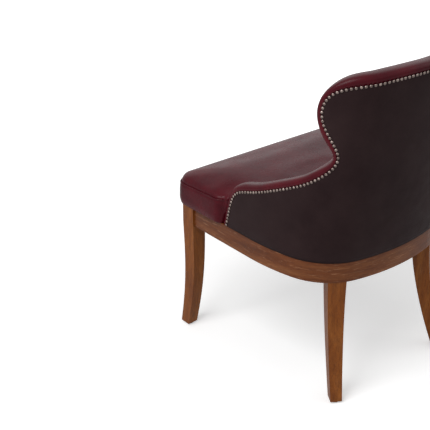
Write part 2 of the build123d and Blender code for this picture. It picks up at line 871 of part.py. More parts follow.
# What the padded back takes up over the seat
with BuildPart() as back_room:
    with BuildSketch(Plane.YZ):
        side_face(None, rail_top, loose_fit)
    extrude(amount=half_span, both=True)
    add(shell_body(arm_thickness + loose_fit, crest_thickness + loose_fit, overrun), mode=Mode.SUBTRACT)

# Seat pad: boxed sides that bulge between their seams under a crowned top
side_layers = [(pad_tuck, 0), (0, pad_seam_height / 2), (pad_tuck / 2, pad_seam_height)]
crown_layers = []
for inset_share, rise_share in crown_shares:
    inset = pad_tuck / 2 + rail_half_width * inset_share
    crown_layers.append((inset, pad_seam_height + pad_crown * rise_share))
with BuildPart() as seat_pad:
    loft([pad_layer(inset, height) for inset, height in side_layers])
    loft([pad_layer(inset, height) for inset, height in crown_layers])
    add(back_room.part, mode=Mode.SUBTRACT)
export(seat_pad.part, "seat_pad")

# Dust cover, tacked under the rails round the legs
with BuildPart() as dust_cover:
    with BuildSketch(Plane.XY.offset(rail_bottom - dust_cover_thickness)):
        plan_face(dust_cover_inset)
        with Locations((0, rail_front)):
            Rectangle(strap_reach, 2 * dust_cover_inset, mode=Mode.SUBTRACT)
        for side in sides.values():
            leg_head(side, dust_cover_room, Mode.SUBTRACT)
            middle, width = rear_leg_section(0, side)
            room = width + 2 * dust_cover_room
            turned_box(middle, room, room, side * rear_leg_angle, Mode.SUBTRACT)
    extrude(amount=dust_cover_thickness)
export(dust_cover.part, "dust_cover")
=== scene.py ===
import bpy
import bmesh
import math
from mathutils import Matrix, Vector
from mathutils.bvhtree import BVHTree
from mathutils.geometry import delaunay_2d_cdt
from mathutils.kdtree import KDTree


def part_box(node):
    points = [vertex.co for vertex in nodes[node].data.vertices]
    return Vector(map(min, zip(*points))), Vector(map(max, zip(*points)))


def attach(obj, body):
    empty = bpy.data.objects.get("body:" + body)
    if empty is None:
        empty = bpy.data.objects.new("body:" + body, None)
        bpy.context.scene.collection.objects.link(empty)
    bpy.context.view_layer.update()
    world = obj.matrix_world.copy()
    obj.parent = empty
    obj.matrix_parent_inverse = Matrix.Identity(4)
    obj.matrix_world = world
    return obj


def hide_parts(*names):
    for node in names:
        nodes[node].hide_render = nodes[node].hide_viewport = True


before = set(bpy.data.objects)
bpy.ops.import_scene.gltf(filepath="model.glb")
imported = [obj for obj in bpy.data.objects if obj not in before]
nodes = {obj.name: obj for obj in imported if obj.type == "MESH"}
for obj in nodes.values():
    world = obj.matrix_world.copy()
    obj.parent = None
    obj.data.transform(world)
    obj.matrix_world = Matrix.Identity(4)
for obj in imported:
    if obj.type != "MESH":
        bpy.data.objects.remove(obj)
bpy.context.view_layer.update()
scene = bpy.context.scene
scene.view_settings.view_transform = "Standard"

BLACK, WHITE = (0.0, 0.0, 0.0), (1.0, 1.0, 1.0)


def add_object(name, data):
    """A new object in the scene."""
    made = bpy.data.objects.new(name, data)
    scene.collection.objects.link(made)
    return made


def look(viewer, place, way):
    """Puts a camera or a lamp at a place and turns it along way."""
    viewer.location = place
    viewer.rotation_mode = "QUATERNION"
    viewer.rotation_quaternion = way.to_track_quat("-Z", "Y")


# Camera, matched to the photograph: behind the chair, on the sitter's left, looking down
camera_data = bpy.data.cameras.new("camera")
camera_data.lens = 80.77
camera_data.sensor_width = 36.0
camera_data.sensor_fit = "HORIZONTAL"
camera = add_object("camera", camera_data)
look(camera, Vector((1.6108, 1.5998, 1.5690)), Vector((-0.53563, -0.69967, -0.47282)))
scene.camera = camera


class Shader:
    """A material under construction: short names for its nodes and links."""

    def __init__(self, name):
        self.material = bpy.data.materials.new(name)
        self.material.use_nodes = True
        self.tree = self.material.node_tree
        self.shader = self.tree.nodes["Principled BSDF"]
        self.place = self.node("ShaderNodeTexCoord").outputs["Object"]

    def node(self, kind, **settings):
        made = self.tree.nodes.new(kind)
        for key, value in settings.items():
            setattr(made, key, value)
        return made

    def link(self, source, target):
        self.tree.links.new(source, target)

    def stretched(self, scale):
        made = self.node("ShaderNodeMapping")
        made.inputs["Scale"].default_value = scale
        self.link(self.place, made.inputs["Vector"])
        return made.outputs["Vector"]

    def noise(self, scale, detail=4.0, rough=0.55, stretch=None, warp=0.0):
        made = self.node("ShaderNodeTexNoise")
        made.inputs["Scale"].default_value = scale
        made.inputs["Detail"].default_value = detail
        made.inputs["Roughness"].default_value = rough
        made.inputs["Distortion"].default_value = warp
        self.link(self.stretched(stretch) if stretch else self.place, made.inputs["Vector"])
        return made.outputs["Fac"]

    def cells(self, scale):
        """How far each place is from the edge of its cell."""
        made = self.node("ShaderNodeTexVoronoi", feature="DISTANCE_TO_EDGE")
        made.inputs["Scale"].default_value = scale
        self.link(self.place, made.inputs["Vector"])
        return made.outputs["Distance"]

    def ramp(self, value, stops):
        """Colours, or greys given as one number, at stops of the value."""
        made = self.node("ShaderNodeValToRGB")
        while len(made.color_ramp.elements) < len(stops):
            made.color_ramp.elements.new(0.5)
        for element, (place, colour) in zip(made.color_ramp.elements, stops):
            element.position = place
            element.color = (*colour, 1.0) if hasattr(colour, "__len__") else (colour, colour, colour, 1.0)
        self.link(value, made.inputs["Fac"])
        return made.outputs["Color"]

    def mix(self, kind, amount, first, second):
        """Two colours mixed: the node's colour version has its inputs at 0, 6 and 7 and its result at 2."""
        made = self.node("ShaderNodeMix", data_type="RGBA", blend_type=kind)
        made.inputs[0].default_value = amount
        self.link(first, made.inputs[6])
        self.link(second, made.inputs[7])
        return made.outputs[2]

    def bump(self, height, strength, distance, over=None):
        made = self.node("ShaderNodeBump")
        made.inputs["Strength"].default_value = strength
        made.inputs["Distance"].default_value = distance
        self.link(height, made.inputs["Height"])
        if over:
            self.link(over, made.inputs["Normal"])
        return made.outputs["Normal"]

    def finish(self, colour, rough, normal=None, **fixed):
        self.link(colour, self.shader.inputs["Base Color"])
        self.link(rough, self.shader.inputs["Roughness"])
        if normal:
            self.link(normal, self.shader.inputs["Normal"])
        for key, value in fixed.items():
            self.shader.inputs[key.replace("_", " ")].default_value = value
        return self.material


def leather(name, dark, light, low_rough, high_rough, grain, **fixed):
    """Finished leather: mottled colour, a fine pebbled grain and long soft creases."""
    m = Shader(name)
    mottle = m.ramp(m.noise(9.0, 6.0, 0.6), [(0.30, dark), (0.72, light)])
    pores = m.ramp(m.cells(grain), [(0.0, 0.0), (0.30, 1.0)])
    colour = m.mix("MULTIPLY", 0.12, mottle, pores)
    rough = m.ramp(m.noise(30.0, 5.0), [(0.3, low_rough), (0.7, high_rough)])
    fine = m.bump(pores, 0.10, 0.0006)
    creases = m.bump(m.noise(22.0, 3.0, 0.5, warp=0.6), 0.10, 0.004, fine)
    return m.finish(colour, rough, creases, **fixed)


def wood(name, dark, mid, light, stretch, low_rough, high_rough, flecked, **fixed):
    """Stained wood: fine grain lines along the piece, broad figure, small dark pores and pale flecks."""
    m = Shader(name)
    figure = m.ramp(m.noise(3.0, 4.0, 0.5, stretch, 0.8), [(0.25, dark), (0.50, mid), (0.80, light)])
    lines = m.ramp(m.noise(16.0, 6.0, 0.7, stretch, 0.2), [(0.35, (0.50, 0.45, 0.42)), (0.60, WHITE)])
    pores = m.ramp(m.noise(60.0, 3.0, 0.8, stretch), [(0.40, (0.45, 0.38, 0.34)), (0.47, WHITE)])
    colour = m.mix("MULTIPLY", 0.55, figure, lines)
    colour = m.mix("MULTIPLY", 0.45, colour, pores)
    flecks = m.ramp(m.noise(19.0, 3.0, 0.6, stretch, 1.2), [(0.58, BLACK), (0.68, (0.150, 0.085, 0.048))])
    colour = m.mix("ADD", flecked, colour, flecks)
    rough = m.ramp(m.noise(5.0, 3.0, 0.6), [(0.3, low_rough), (0.7, high_rough)])
    normal = m.bump(pores, 0.25, 0.0004, m.bump(lines, 0.10, 0.0004))
    return m.finish(colour, rough, normal, **fixed)


def woven(name, dark, light, size, rough):
    """Plain woven cloth: crossed threads with fuzz."""
    m = Shader(name)
    threads = []
    for axis in ("X", "Y", "Z"):
        wave = m.node("ShaderNodeTexWave", wave_type="BANDS", bands_direction=axis)
        wave.inputs["Scale"].default_value = size
        wave.inputs["Distortion"].default_value = 0.6
        m.link(m.place, wave.inputs["Vector"])
        threads.append(wave.outputs["Fac"])
    crossed = m.mix("MULTIPLY", 1.0, m.mix("SCREEN", 1.0, threads[0], threads[1]), threads[2])
    tone = m.ramp(crossed, [(0.2, dark), (0.8, light)])
    fuzz = m.ramp(m.noise(40.0), [(0.3, 0.6), (0.7, 1.0)])
    rough = m.ramp(m.noise(60.0), [(0.3, rough), (0.7, rough + 0.1)])
    return m.finish(m.mix("MULTIPLY", 0.3, tone, fuzz), rough, m.bump(crossed, 0.3, 0.0006))


def metal(name, dark, light, low_rough, high_rough):
    """Aged metal: patchy tone and small scratches."""
    m = Shader(name)
    colour = m.ramp(m.noise(140.0, 4.0, 0.6), [(0.30, dark), (0.70, light)])
    rough = m.ramp(m.noise(220.0, 3.0), [(0.3, low_rough), (0.7, high_rough)])
    return m.finish(colour, rough, m.bump(m.noise(500.0, 2.0), 0.08, 0.0002), Metallic=1.0)


def plastic(name, dark, light, rough):
    """Moulded nylon, slightly mottled."""
    m = Shader(name)
    colour = m.ramp(m.noise(60.0), [(0.3, dark), (0.7, light)])
    rough = m.ramp(m.noise(90.0), [(0.3, rough), (0.7, rough + 0.1)])
    return m.finish(colour, rough, m.bump(m.noise(300.0), 0.1, 0.0003))


# How the grain is stretched: up the legs, level along the rail, and mildly upright in the hidden frame
LEG_GRAIN, RAIL_GRAIN, FRAME_GRAIN = (7.0, 7.0, 0.9), (0.9, 0.9, 9.0), (4.0, 4.0, 1.0)

burgundy = leather(
    "burgundy leather", (0.046, 0.0014, 0.0055), (0.100, 0.0050, 0.0110), 0.20, 0.30, 700.0,
    Specular_IOR_Level=0.135)
panel_leather = leather(
    "panel leather", (0.0195, 0.0095, 0.0105), (0.0305, 0.0165, 0.0170), 0.42, 0.54, 620.0,
    Specular_IOR_Level=0.065)
leg_wood = wood(
    "leg wood", (0.120, 0.029, 0.0035), (0.220, 0.062, 0.0075), (0.340, 0.122, 0.024),
    LEG_GRAIN, 0.28, 0.40, 0.15, Specular_IOR_Level=0.20)
rail_wood = wood(
    "rail wood", (0.070, 0.016, 0.0035), (0.150, 0.041, 0.0095), (0.270, 0.100, 0.032),
    RAIL_GRAIN, 0.26, 0.38, 0.75, Specular_IOR_Level=0.21)
frame_wood = wood(
    "frame wood", (0.30, 0.20, 0.11), (0.42, 0.29, 0.17), (0.52, 0.38, 0.24), FRAME_GRAIN, 0.55, 0.70, 0.2)
webbing = woven("webbing", (0.16, 0.11, 0.06), (0.36, 0.27, 0.17), 500.0, 0.85)
hessian = woven("hessian", (0.25, 0.18, 0.10), (0.50, 0.39, 0.24), 350.0, 0.9)
dust_cloth = woven("dust cloth", (0.010, 0.010, 0.010), (0.028, 0.028, 0.030), 700.0, 0.85)
nail_metal = metal("nail metal", (0.10, 0.074, 0.066), (0.37, 0.295, 0.265), 0.24, 0.40)
steel = metal("screw steel", (0.40, 0.40, 0.40), (0.62, 0.62, 0.62), 0.30, 0.45)
nylon = plastic("nylon", (0.020, 0.017, 0.015), (0.040, 0.035, 0.030), 0.5)

# Materials by the start of the CAD nodes' names
FINISHES = {
    "hoop_rail": rail_wood,
    "front_rail": rail_wood,
    "leg_": leg_wood,
    "floor_glides": nylon,
    "corner_block": frame_wood,
    "block_screws": steel,
    "arm_": frame_wood,
    "stile_": frame_wood,
    "wing_board": frame_wood,
    "crest_rail": frame_wood,
    "back_tacking_rail": frame_wood,
    "frame_dowels": frame_wood,
    "back_webbing": webbing,
    "seat_webbing": webbing,
    "back_hessian": hessian,
    "seat_hessian": hessian,
    "dust_cover": dust_cloth,
    "outer_back": panel_leather,
    "back_pad": burgundy,
    "seat_pad": burgundy,
    "dome_nails": nail_metal,
}
for name, node in nodes.items():
    for start, material in FINISHES.items():
        if name.startswith(start):
            for material_slot in node.material_slots:
                material_slot.material = material


def paint(piece, material):
    piece.data.materials.clear()
    piece.data.materials.append(material)


def soft_piece(name, mesh, material):
    """A smooth-shaded object of the mesh, painted and with its slot."""
    mesh.shade_smooth()
    piece = add_object(name, mesh)
    paint(piece, material)
    return piece


def new_piece(name, verts, faces, material):
    mesh = bpy.data.meshes.new(name)
    mesh.from_pydata(verts, [], faces)
    mesh.validate()
    return soft_piece(name, mesh, material)


def surface(mesh):
    """The mesh's faces, for rays and nearest points."""
    return BVHTree.FromPolygons([vert.co for vert in mesh.vertices], [tuple(face.vertices) for face in mesh.polygons])


def nearby(places):
    """The places, for finding the ones nearest to another."""
    near = KDTree(len(places))
    for number, place in enumerate(places):
        near.insert(place, number)
    near.balance()
    return near


# The raked shell that the back and the arms follow, with the model's own sizes in metres
RAIL_FRONT, RAIL_HALF, RAIL_TOP = -0.270, 0.279, 0.373
TAPER, SWEEP_TURN = math.radians(3.1), math.radians(13.8)
SIDE_RUN, SWEEP_R, CORNER_R, BACK_R = 0.256, 0.554, 0.156, 0.566
RAKE, SHELL_HEIGHT = 0.061, 0.560
ARM_THICK, CREST_THICK = 0.042, 0.054
FOOT_H = 0.0005


def unit(angle):
    return Vector((math.cos(angle), math.sin(angle)))


ALONG, OUT = unit(math.pi / 2 + TAPER), unit(TAPER)


def arcs(h):
    """The left half of the shell's plan at a height, from the rear middle forwards: arcs, then the side's end."""
    side_end = Vector((RAIL_HALF, RAIL_FRONT)) + ALONG * (SIDE_RUN + RAKE * h / SHELL_HEIGHT)
    sweep = side_end - OUT * SWEEP_R
    turned = TAPER + SWEEP_TURN
    corner = sweep + unit(turned) * (SWEEP_R - CORNER_R)
    spread = BACK_R - CORNER_R
    first = math.acos(corner.x / spread)
    back = Vector((0.0, corner.y - spread * math.sin(first)))
    runs = [(back, BACK_R, math.pi / 2, first), (corner, CORNER_R, first, turned), (sweep, SWEEP_R, turned, TAPER)]
    return runs, side_end


def shell(s, h, depth=0.0):
    """Place on the shell: s along its plan from the rear middle, left positive, h above the rail, depth inwards."""
    runs, side_end = arcs(h)
    left = abs(s)
    flat = None
    for centre, radius, first, last in runs:
        if left <= radius * (first - last):
            flat = centre + unit(first - left / radius) * (radius - depth)
            break
        left -= radius * (first - last)
    if flat is None:
        flat = side_end - ALONG * left - OUT * depth
    return Vector((flat.x if s >= 0 else -flat.x, flat.y, RAIL_TOP + h))


def unrolled(y, h, x=None):
    """The s of the place on the shell's left half that has that y, at a height, more exactly where x is known too."""
    runs, side_end = arcs(h)
    walked = 0.0
    for centre, radius, first, last in runs:
        if y > centre.y + radius * math.sin(last):
            if x is None:
                angle = math.asin(min(1.0, (y - centre.y) / radius))
            else:
                angle = math.atan2(y - centre.y, x - centre.x)
            return walked + radius * (first - angle)
        walked += radius * (first - last)
    return walked + (side_end.y - y) / ALONG.y


def ease(value):
    """0 up to 0, 1 from 1 on, and smooth between."""
    value = max(0.0, min(1.0, value))
    return value * value * (3.0 - 2.0 * value)


def thickness(h):
    """From the outer back to the inside face, without the padding's own lift."""
    return ARM_THICK + (CREST_THICK - ARM_THICK) * h / SHELL_HEIGHT


def islands(mesh):
    """The mesh's separate solids, as lists of vertex places."""
    work = bmesh.new()
    work.from_mesh(mesh)
    bmesh.ops.remove_doubles(work, verts=work.verts, dist=1e-6)
    seen = set()
    groups = []
    for vert in work.verts:
        if vert.index in seen:
            continue
        stack, group = [vert], []
        seen.add(vert.index)
        while stack:
            here = stack.pop()
            group.append(here.co.copy())
            for edge in here.link_edges:
                other = edge.other_vert(here)
                if other.index not in seen:
                    seen.add(other.index)
                    stack.append(other)
        groups.append(group)
    work.free()
    return groups


# Where each dome nail sits, and the way it faces: its widest points are its base
BASE_POINTS = 8
heads = []
for group in islands(nodes["dome_nails"].data):
    centre = sum(group, Vector()) / len(group)
    widest = sorted(group, key=lambda p: -(p - centre).length)[:BASE_POINTS]
    base = sum(widest, Vector()) / len(widest)
    heads.append((base, (centre - base).normalized()))

# The nail line on the unrolled shell, from the crest's middle to the left arm's foot
MIDDLE_SLACK, KNOT_GAP, STEPS = 0.002, 0.004, 4
waiting = [base for base, axis in heads if base.x > -MIDDLE_SLACK]
walk = [min(waiting, key=lambda p: abs(p.x))]
waiting.remove(walk[0])
while waiting:
    walk.append(min(waiting, key=lambda p: (p - walk[-1]).length))
    waiting.remove(walk[-1])
knots = [Vector((unrolled(p.y, p.z - RAIL_TOP, p.x), p.z - RAIL_TOP)) for p in walk]
knots[0].x = 0.0
last_step = knots[-1] - knots[-2]
foot = knots[-1] + last_step * ((FOOT_H - knots[-1].y) / last_step.y)
if (foot - knots[-1]).length > KNOT_GAP:
    knots.append(foot)
else:
    knots[-1] = foot


def smooth_line(points, steps, before):
    """Evenly divided smooth curve through points, which starts as if it came from before."""
    padded = [before, *points, points[-1] * 2 - points[-2]]
    result = []
    for index in range(1, len(padded) - 2):
        a, b, c, d = padded[index - 1:index + 3]
        slope, bend, twist = c - a, a * 2 - b * 5 + c * 4 - d, b * 3 - a - c * 3 + d
        for step in range(steps):
            t = step / steps
            result.append((b * 2 + slope * t + bend * t**2 + twist * t**3) / 2)
    return result + [points[-1]]


mirrored = Vector((-knots[1].x, knots[1].y))
half_line = smooth_line(knots, STEPS, mirrored)

# How far the roll reaches past the nail line: setback, height and reach at the model's own stops
REACHES = [
    (0.165, 0.000, 0.017), (0.182, 0.071, 0.017), (0.200, 0.105, 0.020), (0.248, 0.128, 0.020),
    (0.347, 0.172, 0.020), (0.445, 0.229, 0.020), (0.482, 0.285, 0.011), (0.467, 0.340, 0.0185),
    (0.452, 0.394, 0.017), (0.471, 0.440, 0.0165), (0.497, 0.456, 0.0215), (0.515, 0.4615, 0.0240),
    (0.534, 0.466, 0.0235), (0.559, 0.474, 0.0205),
]
REACH_SPAN = 8
marks = []
for setback, h, reach in REACHES:
    place = Vector((unrolled(RAIL_FRONT + setback, h), h))
    nearest = min(range(len(half_line)), key=lambda i: (half_line[i] - place).length)
    marks.append((nearest, reach))
marks.sort()


def straight_reach(index):
    """The roll's reach at a point of the half line, straight from stop to stop."""
    if index <= marks[0][0]:
        return marks[0][1]
    for (low, first), (high, last) in zip(marks, marks[1:]):
        if index <= high:
            return first + (last - first) * (index - low) / max(high - low, 1)
    return marks[-1][1]


def reach_at(index):
    """The roll's reach at a point of the half line, evened out over its neighbours."""
    span = range(-REACH_SPAN, REACH_SPAN + 1)
    return sum(straight_reach(abs(index + step)) for step in span) / len(span)


# Stations from the left foot over the crest to the right foot: place, way out, reach and count of nails, unrolled.
# Near the foot the way out turns level.
LEVEL_FOOT = 0.045
half = []
for index, place in enumerate(half_line):
    before = half_line[index - 1] if index else Vector((-half_line[1].x, half_line[1].y))
    after = half_line[min(index + 1, len(half_line) - 1)]
    along = (after - before).normalized()
    out = Vector((-along.y, along.x))
    out.y *= ease(place.y / LEVEL_FOOT)
    half.append((place, out.normalized(), reach_at(index), index / STEPS))
stations = list(reversed(half)) + [(Vector((-p.x, p.y)), Vector((-o.x, o.y)), r, k) for p, o, r, k in half[1:]]


class Skin:
    """A closed soft mesh on the shell, made of a band along the nail line and fields inside it."""

    # A field's rows as a share of its spacing, and how near to its edge a point may be
    ROW, CLEAR = 0.92, 0.62

    def __init__(self):
        self.verts, self.faces = [], []

    def vert(self, s, h, depth):
        self.verts.append(shell(s, max(h, FOOT_H), depth))
        return len(self.verts) - 1

    def band(self, profile):
        """Rows of vertices along the nail line, each from profile(place, reach, knot) as pairs of way out and depth."""
        rows = []
        for place, out, reach, knot in stations:
            row = []
            for b, depth in profile(place, reach, knot):
                at = place + out * b
                row.append((self.vert(at.x, at.y, depth), at.x, max(at.y, FOOT_H)))
            rows.append(row)
        for row, after in zip(rows, rows[1:]):
            for k in range(len(row) - 1):
                self.faces.append((row[k][0], row[k + 1][0], after[k + 1][0], after[k][0]))
        return rows

    def field(self, edge, spacing, depth_at):
        """Even triangles over what an edge from foot to foot encloses, with a straight bottom."""
        first, last = edge[0], edge[-1]
        loop = list(edge)
        count = max(int(abs(last[1] - first[1]) / spacing), 2)
        for step in range(1, count):
            s = last[1] + (first[1] - last[1]) * step / count
            loop.append((self.vert(s, FOOT_H, depth_at(s, FOOT_H, 0.0)), s, FOOT_H))
        flat = [Vector((s, h)) for number, s, h in loop]
        near = nearby([place.to_3d() for place in flat])
        low_s, high_s = min(p.x for p in flat), max(p.x for p in flat)
        high_h = max(p.y for p in flat)
        inside = []
        for row in range(1, int(high_h / spacing) + 1):
            for column in range(int((high_s - low_s) / spacing) + 1):
                place = Vector((low_s + spacing * (column + 0.5 * (row % 2)), spacing * self.ROW * row))
                if near.find(place.to_3d())[2] > spacing * self.CLEAR:
                    inside.append(place)
        outline = [list(range(len(flat)))]
        places, _, triangles, origins, _, _ = delaunay_2d_cdt(flat + inside, [], outline, 1, 1e-8)
        numbers = {}
        for triangle in triangles:
            for corner in triangle:
                if corner in numbers:
                    continue
                known = [origin for origin in origins[corner] if origin < len(flat)]
                if known:
                    numbers[corner] = loop[known[0]][0]
                else:
                    s, h = places[corner]
                    numbers[corner] = self.vert(s, h, depth_at(s, h, near.find((s, h, 0.0))[2]))
            self.faces.append(tuple(numbers[corner] for corner in triangle))

    def piece(self, name, material, slot):
        """The finished object, with its foot closed and its faces turned outwards."""
        work = bmesh.new()
        made = [work.verts.new(place) for place in self.verts]
        for face in self.faces:
            if len(set(face)) == len(face):
                try:
                    work.faces.new([made[number] for number in face])
                except ValueError:
                    # The face is there already
                    pass
        bmesh.ops.remove_doubles(work, verts=work.verts, dist=1e-5)
        open_edges = [edge for edge in work.edges if edge.is_boundary]
        filled = bmesh.ops.holes_fill(work, edges=open_edges, sides=0)["faces"]
        bmesh.ops.triangulate(work, faces=filled)
        bmesh.ops.recalc_face_normals(work, faces=work.faces)
        mesh = bpy.data.meshes.new(name)
        work.to_mesh(mesh)
        work.free()
        return soft_piece(name, mesh, material)


def pinch(knot):
    """1 under a nail, 0 halfway to the next."""
    return 0.5 + 0.5 * math.cos(2 * math.pi * knot)


def ripple(s, h):
    """Slow unevenness of stretched leather, between -1 and 1."""
    broad = math.sin(23.0 * s + 9.0 * h) * math.sin(17.0 * h + 1.3)
    return 0.5 * broad + 0.5 * math.sin(41.0 * s - 31.0 * h + 0.7)


# Spacing of the fields that show and of those that don't
SHOWN_GRID, HIDDEN_GRID = 0.011, 0.020


def wrapped(name, material, slot, profile, shown_depth, hidden_depth):
    """A soft piece with a band along the nails, a field on the side that shows and one at an even depth behind it."""
    skin = Skin()
    rows = skin.band(profile)
    skin.field([row[-1] for row in rows], SHOWN_GRID, shown_depth)
    skin.field([row[0] for row in rows], HIDDEN_GRID, lambda s, h, gap: hidden_depth)
    return skin.piece(name, material, slot)


# Padded back: leather wrapped from behind the nails over the frame's edge and down the inside.
# Depths of its face under the nails, of its skin inside the frame's edge and of its lining; the leather's run from
# the lining round that edge to the nails, as pairs of way out and depth
PAD_FACE, SKIN_IN, LINING = 0.0023, 0.0043, 0.0260
TUCK = [
    (-0.020, LINING), (0.004, LINING), (0.0083, LINING - 0.004), (0.0083, SKIN_IN + 0.003),
    (0.006, SKIN_IN), (-0.011, SKIN_IN), (-0.012, PAD_FACE), (0.0, PAD_FACE),
]
# The roll past the nails: from their rims a flat that bulges a little, or only a short run where the roll reaches
# less far, then an outer and an inner rounding, and last the overlap with the inside face
NAIL_RIM, RIM_BULGE, TIGHT, FLAT_BULGE, FLAT_STEPS = 0.0035, 0.0004, 0.0007, 0.0012, 4
LEAST_FLAT, LONG_FLAT, SHORT_RUN, ROUND_FROM = 0.002, 0.005, 0.0004, 0.0042
OUTER_ROUND, OUTER_STEPS, INNER_ROUND, INNER_STEPS, POWER = 0.016, 8, 0.030, 10, 0.72
ROLL_MIDDLE, INSIDE_OVERLAP = PAD_FACE + 0.017, 0.010
# The inside face: its lift over the frame, its belly and its ripples, each with the run over which it grows
SKIN_LIFT, BELLY, BELLY_RUN, WAVE, WAVE_RUN = 0.0006, 0.0030, 0.09, 0.0006, 0.05


def roll_profile(place, reach, knot):
    thick = thickness(place.y)
    tight = TIGHT * pinch(knot)
    flat = reach - min(OUTER_ROUND, reach - LEAST_FLAT)
    run = flat - NAIL_RIM if flat > LONG_FLAT else SHORT_RUN
    points = TUCK + [(NAIL_RIM, PAD_FACE - RIM_BULGE + tight)]
    for step in range(1, FLAT_STEPS):
        share = step / FLAT_STEPS
        bulge = FLAT_BULGE * math.sin(math.pi * share * 0.5)
        points.append((NAIL_RIM + run * share, PAD_FACE - bulge + tight * (1 - share)))
    start_b, start_d = max(flat, ROUND_FROM), PAD_FACE - FLAT_BULGE
    for step in range(OUTER_STEPS + 1):
        angle = math.pi / 2 * step / OUTER_STEPS
        b = start_b + (reach - start_b) * math.sin(angle) ** POWER
        points.append((b, ROLL_MIDDLE - (ROLL_MIDDLE - start_d) * math.cos(angle) ** POWER))
    for step in range(1, INNER_STEPS + 1):
        angle = math.pi / 2 * step / INNER_STEPS
        b = reach - INNER_ROUND * (1 - math.cos(angle) ** POWER)
        points.append((b, ROLL_MIDDLE + (thick - ROLL_MIDDLE) * math.sin(angle) ** POWER))
    points.append((reach - INNER_ROUND - INSIDE_OVERLAP, thick + SKIN_LIFT))
    return points


def inside_depth(s, h, gap):
    return thickness(h) + SKIN_LIFT + BELLY * ease(gap / BELLY_RUN) + WAVE * ripple(s, h) * ease(gap / WAVE_RUN)


back = wrapped("back_cushion", burgundy, "leather", roll_profile, inside_depth, LINING)
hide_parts("back_pad")
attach(back, "root")

# Outer back: a leather panel pulled tight inside the nails. Its inner depth, the turn of its edge and the places
# of its rows inside the nails; its bulge, its ripples, its foot and the gathers under the nails
PANEL_IN = 0.0018
PANEL_EDGE = [(-0.030, PANEL_IN), (-0.010, PANEL_IN), (0.0018, PANEL_IN), (0.0024, 0.0012), (0.0019, 0.0006)]
PANEL_GAPS = (0.0, 0.003, 0.006, 0.0095, 0.0135, 0.018, 0.023, 0.030)
PANEL_FACE, PANEL_BULGE, BULGE_RUN = 0.0005, 0.0022, 0.014
PANEL_WAVE, PANEL_WAVE_RUN = 0.0004, 0.04
PANEL_FOOT, PANEL_FOOT_RUN = 0.0004, 0.030
GATHER, GATHER_RUN = 0.0005, 0.006


def panel_depth(gap, h, s):
    wave = PANEL_WAVE * ripple(s, h) * ease(gap / PANEL_WAVE_RUN)
    bulge = PANEL_BULGE * (1 - math.exp(-max(gap, 0.0) / BULGE_RUN)) + wave
    raised = ease(h / PANEL_FOOT_RUN)
    return PANEL_FACE - bulge * raised - PANEL_FOOT * (1 - raised)


def panel_profile(place, reach, knot):
    points = list(PANEL_EDGE)
    for gap in PANEL_GAPS:
        gather = GATHER * pinch(knot) * math.exp(-gap / GATHER_RUN)
        points.append((-gap, panel_depth(gap, place.y, place.x) + gather))
    return points


def panel_inside(s, h, gap):
    return panel_depth(gap + PANEL_GAPS[-1], h, s)


outer = wrapped("outer_back_cover", panel_leather, "panel_leather", panel_profile, panel_inside, PANEL_IN)
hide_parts("outer_back")
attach(outer, "root")

# Seat pad: a simulated swelling laid over a fine skin, with a sewn top seam that dips at the front corners
seat_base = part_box("seat_pad")[0][2]
SEAM = 0.068
SEAM_DIP, SEAM_GROOVE, GROOVE_HALF = 0.006, 0.0028, 0.004
CROWN_RISE, CORNER_ROUND, SKIN_OVER = 0.0052, 0.018, 0.0015
COARSE, FINE = 0.008, 0.004
PRESSURE, LAST_FRAME, SWELL_LOW, SWELL_HIGH = 7.0, 20, -0.001, 0.003
HELD_SHARE, HELD_NEAR = 0.02, 0.006
CLOSEST, EVEN_ROUNDS, FACING_ROUNDS = 4, 16, 3
# How high over the seam the crown's smoothing begins, and the rise over which it grows
CROWN_FROM, CROWN_RUN = 0.014, 0.008
# The pad's ears end at this y and reach inwards to this x; its front edge and its sides lie at these
EAR_END, EAR_IN, FRONT_EDGE, SIDE_EDGE = -0.121, 0.258, -0.296, 0.288


def applied(piece):
    """Applies the piece's modifiers."""
    graph = bpy.context.evaluated_depsgraph_get()
    made = bpy.data.meshes.new_from_object(piece.evaluated_get(graph), depsgraph=graph)
    piece.modifiers.clear()
    piece.data = made


def smoothing(piece, name, factor, rounds, group=""):
    smooth = piece.modifiers.new(name, "SMOOTH")
    smooth.factor = factor
    smooth.iterations = rounds
    smooth.vertex_group = group


def seat_skin(name, size):
    """The pad's shape as even quads."""
    piece = add_object(name, nodes["seat_pad"].data.copy())
    remesh = piece.modifiers.new("remesh", "REMESH")
    remesh.mode = "VOXEL"
    remesh.voxel_size = size
    applied(piece)
    return piece


def over_seam(place):
    return place.z - seat_base - SEAM


def free_share(place):
    """1 where the pad can swell, less where the arms, the back and the rails press on it."""
    sides = ease((0.245 - abs(place.x)) / 0.05)
    between = sides * ease((0.17 - place.y) / 0.10)
    ahead = ease((-0.122 - place.y) / 0.04)
    return (1 - (1 - between) * (1 - ahead)) * ease((place.z - seat_base - 0.002) / 0.02)


def seam_dip(place):
    """How far the top seam lies below its usual height."""
    return SEAM_DIP * ease((-0.13 - place.y) / 0.16) * ease((abs(place.x) - 0.14) / 0.13)


def boxed_share(place):
    """1 on the pad's open sides, in front and beside the arms' front, and 0 where it is covered."""
    beside = ease((abs(place.x) - 0.24) / 0.03) * ease((-0.118 - place.y) / 0.012)
    return max(beside, ease((-0.24 - place.y) / 0.03))


def side_spread(over):
    """How far the pad's open side stands out at a height over the seam: fuller low down and above the seam."""
    if over > 0:
        spread = 0.0020 + 0.0030 * ease(over / 0.004) * (1 - ease((over - 0.008) / 0.014))
    else:
        level = max(0.0, min(1.0, -over / SEAM))
        spread = 0.0010 + 0.0035 * ease((level - 0.4) / 0.6) + 0.0010 * ease((0.25 - level) / 0.25)
    return spread - SEAM_GROOVE * math.exp(-((over / GROOVE_HALF) ** 2))


